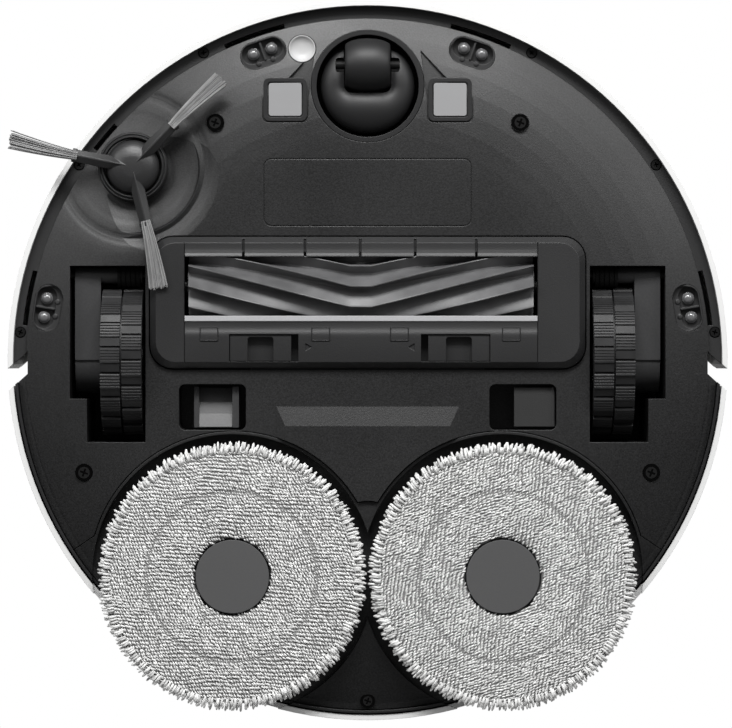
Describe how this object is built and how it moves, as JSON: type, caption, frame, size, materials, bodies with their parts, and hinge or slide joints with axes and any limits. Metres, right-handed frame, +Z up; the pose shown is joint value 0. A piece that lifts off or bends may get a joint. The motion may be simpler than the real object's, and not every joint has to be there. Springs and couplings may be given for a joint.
{
  "type": "robot vacuum and mop",
  "caption": "Round floor-cleaning robot with drive wheels, roller brush, side brush, swivel caster, spinning lifting mop pads and a laser turret.",
  "frame": {"origin": "centre of the round body at floor level, under the wheels' contact line", "axes": "+Z up, -Y to the front with the bumper and caster, +X to the side away from the side brush"},
  "size_m": [0.35, 0.35, 0.1035],
  "materials": {
    "chassis_plastic": "fine spark-eroded grain",
    "frame_plastic": "fine satin",
    "white_shell": "gloss",
    "bin_plastic": "smoked gloss",
    "filter_paper": "matt pleats",
    "turret_grey": "satin",
    "rail_plastic": "fine grain",
    "window_black": "polished",
    "dark_screw": "black zinc",
    "button_grey": "satin",
    "brush_grey": "fine grain",
    "bristle": "nylon strands",
    "steel": "brushed",
    "fin_rubber": "satin",
    "guard_plastic": "fine grain",
    "bar_metal": "satin",
    "caster_gloss": "gloss",
    "tyre_rubber": "matt",
    "arm_plastic": "satin",
    "mop_yarn": "twisted yarn loops",
    "mop_hub_grey": "satin",
    "lens_clear": "polished",
    "sensor_white": "satin",
    "contact_metal": "satin nickel",
    "flap_plastic": "fine grain",
    "battery_wrap": "shrink film",
    "board_green": "solder mask",
    "tank_plastic": "smoked gloss"
  },
  "bodies": {
    "root": {"bottom_chassis": "chassis_plastic", "rear_bottom_cover": "chassis_plastic", "inner_frame": "frame_plastic", "top_shell": "white_shell", "lidar_base": "turret_grey", "lidar_cap": "white_shell", "chassis_screws": "dark_screw", "side_brush_motor": "frame_plastic", "brush_motor": "frame_plastic", "brush_housing": "frame_plastic", "brush_guard": "guard_plastic", "guard_bar": "bar_metal", "caster_socket": "frame_plastic", "left_wheel_spring": "dark_screw", "right_wheel_spring": "dark_screw", "cliff_sensors": "frame_plastic", "cliff_lenses": "lens_clear", "carpet_sensor": "sensor_white", "charge_contacts": "contact_metal", "battery_pack": "battery_wrap", "main_board": "board_green", "fan_housing": "frame_plastic", "water_tank": "tank_plastic", "speaker": "frame_plastic"},
    "bumper": {"bumper_skin": "white_shell", "bumper_rail": "rail_plastic", "bumper_window": "window_black", "bumper_screws": "dark_screw"},
    "lid": {"top_lid": "white_shell"},
    "bin": {"dust_bin": "bin_plastic", "bin_filter": "filter_paper"},
    "laser": {"lidar_rotor": "frame_plastic"},
    "power_key": {"power_button": "button_grey"},
    "dock_key": {"dock_button": "button_grey"},
    "side_brush": {"side_brush_hub": "brush_grey", "side_brush_bristles": "bristle", "side_brush_screw": "steel"},
    "main_brush": {"brush_core": "frame_plastic", "brush_fins": "fin_rubber"},
    "latch_left": {"guard_latch_left": "guard_plastic"},
    "latch_right": {"guard_latch_right": "guard_plastic"},
    "caster_swivel": {"caster_fork": "caster_gloss", "caster_axle": "dark_screw"},
    "caster_roller": {"caster_wheel": "caster_gloss"},
    "left_suspension": {"left_wheel_arm": "arm_plastic", "left_wheel_motor": "steel"},
    "left_wheel": {"left_tyre": "tyre_rubber", "left_wheel_hub": "frame_plastic"},
    "left_mop_carriage": {"left_mop_motor": "frame_plastic"},
    "left_mop": {"left_mop_cloth": "mop_yarn", "left_mop_plate": "mop_hub_grey"},
    "right_suspension": {"right_wheel_arm": "arm_plastic", "right_wheel_motor": "steel"},
    "right_wheel": {"right_tyre": "tyre_rubber", "right_wheel_hub": "frame_plastic"},
    "right_mop_carriage": {"right_mop_motor": "frame_plastic"},
    "right_mop": {"right_mop_cloth": "mop_yarn", "right_mop_plate": "mop_hub_grey"},
    "vent_door": {"vent_flap": "flap_plastic"},
    "fan": {"fan_impeller": "button_grey"}
  },
  "joints": [
    {"name": "bumper_press", "type": "slide", "parent": "root", "child": "bumper", "axis": [0, 1, 0], "range_m": [0, 0.004], "stiffness_N_per_m": 400, "springref_m": -0.002},
    {"name": "lid_lift", "type": "slide", "parent": "root", "child": "lid", "axis": [0, 0, 1], "range_m": [0, 0.12]},
    {"name": "bin_lift", "type": "slide", "parent": "root", "child": "bin", "axis": [0, 0, 1], "range_m": [0, 0.09]},
    {"name": "laser_spin", "type": "hinge", "parent": "root", "child": "laser", "pos_m": [0, 0.095, 0.09], "axis": [0, 0, 1], "continuous": true},
    {"name": "power_press", "type": "slide", "parent": "root", "child": "power_key", "axis": [0, 0, -1], "range_m": [0, 0.0008], "stiffness_N_per_m": 300, "springref_m": -0.001},
    {"name": "dock_press", "type": "slide", "parent": "root", "child": "dock_key", "axis": [0, 0, -1], "range_m": [0, 0.0008], "stiffness_N_per_m": 300, "springref_m": -0.001},
    {"name": "side_brush_spin", "type": "hinge", "parent": "root", "child": "side_brush", "pos_m": [-0.1138, -0.0936, 0.008], "axis": [0, 0, 1], "continuous": true},
    {"name": "main_brush_spin", "type": "hinge", "parent": "root", "child": "main_brush", "pos_m": [-0.0032, -0.0357, 0.0215], "axis": [1, 0, 0], "continuous": true},
    {"name": "latch_left_slide", "type": "slide", "parent": "root", "child": "latch_left", "axis": [1, 0, 0], "range_m": [0, 0.0032], "stiffness_N_per_m": 150, "springref_m": -0.001},
    {"name": "latch_right_slide", "type": "slide", "parent": "root", "child": "latch_right", "axis": [-1, 0, 0], "range_m": [0, 0.0032], "stiffness_N_per_m": 150, "springref_m": -0.001},
    {"name": "caster_swivel_turn", "type": "hinge", "parent": "root", "child": "caster_swivel", "pos_m": [0, -0.133, 0.03], "axis": [0, 0, 1], "continuous": true},
    {"name": "caster_roll", "type": "hinge", "parent": "caster_swivel", "child": "caster_roller", "pos_m": [0, -0.1432, 0.013], "axis": [1, 0, 0], "continuous": true},
    {"name": "left_wheel_drop", "type": "hinge", "parent": "root", "child": "left_suspension", "pos_m": [-0.125, -0.0414, 0.024], "axis": [1, 0, 0], "range_deg": [-13, 0], "stiffness_Nm_per_rad": 0.3, "springref_deg": -34.38},
    {"name": "left_wheel_spin", "type": "hinge", "parent": "left_suspension", "child": "left_wheel", "pos_m": [-0.12, 0, 0.037], "axis": [1, 0, 0], "continuous": true},
    {"name": "left_mop_raise", "type": "slide", "parent": "root", "child": "left_mop_carriage", "axis": [0, 0, 1], "range_m": [0, 0.0105]},
    {"name": "left_mop_spin", "type": "hinge", "parent": "left_mop_carriage", "child": "left_mop", "pos_m": [-0.0653, 0.1045, 0.01], "axis": [0, 0, 1], "continuous": true},
    {"name": "right_wheel_drop", "type": "hinge", "parent": "root", "child": "right_suspension", "pos_m": [0.125, -0.0414, 0.024], "axis": [1, 0, 0], "range_deg": [-13, 0], "stiffness_Nm_per_rad": 0.3, "springref_deg": -34.38},
    {"name": "right_wheel_spin", "type": "hinge", "parent": "right_suspension", "child": "right_wheel", "pos_m": [0.12, 0, 0.037], "axis": [1, 0, 0], "continuous": true},
    {"name": "right_mop_raise", "type": "slide", "parent": "root", "child": "right_mop_carriage", "axis": [0, 0, 1], "range_m": [0, 0.0105]},
    {"name": "right_mop_spin", "type": "hinge", "parent": "right_mop_carriage", "child": "right_mop", "pos_m": [0.0653, 0.1045, 0.01], "axis": [0, 0, 1], "continuous": true},
    {"name": "vent_flap_swing", "type": "hinge", "parent": "root", "child": "vent_door", "pos_m": [0.0902, 0.0228, 0.0146], "axis": [0, 1, 0], "range_deg": [0, 60], "stiffness_Nm_per_rad": 0.004, "springref_deg": -11.46},
    {"name": "fan_spin", "type": "hinge", "parent": "root", "child": "fan", "pos_m": [0, 0.084, 0.04], "axis": [0, 0, 1], "continuous": true}
  ],
  "couplings": [
    {"joint": "bin_lift", "follows": "lid_lift", "ratio": 0.75},
    {"joint": "right_mop_raise", "follows": "left_mop_raise", "ratio": 1},
    {"joint": "right_mop_spin", "follows": "left_mop_spin", "ratio": -1}
  ]
}
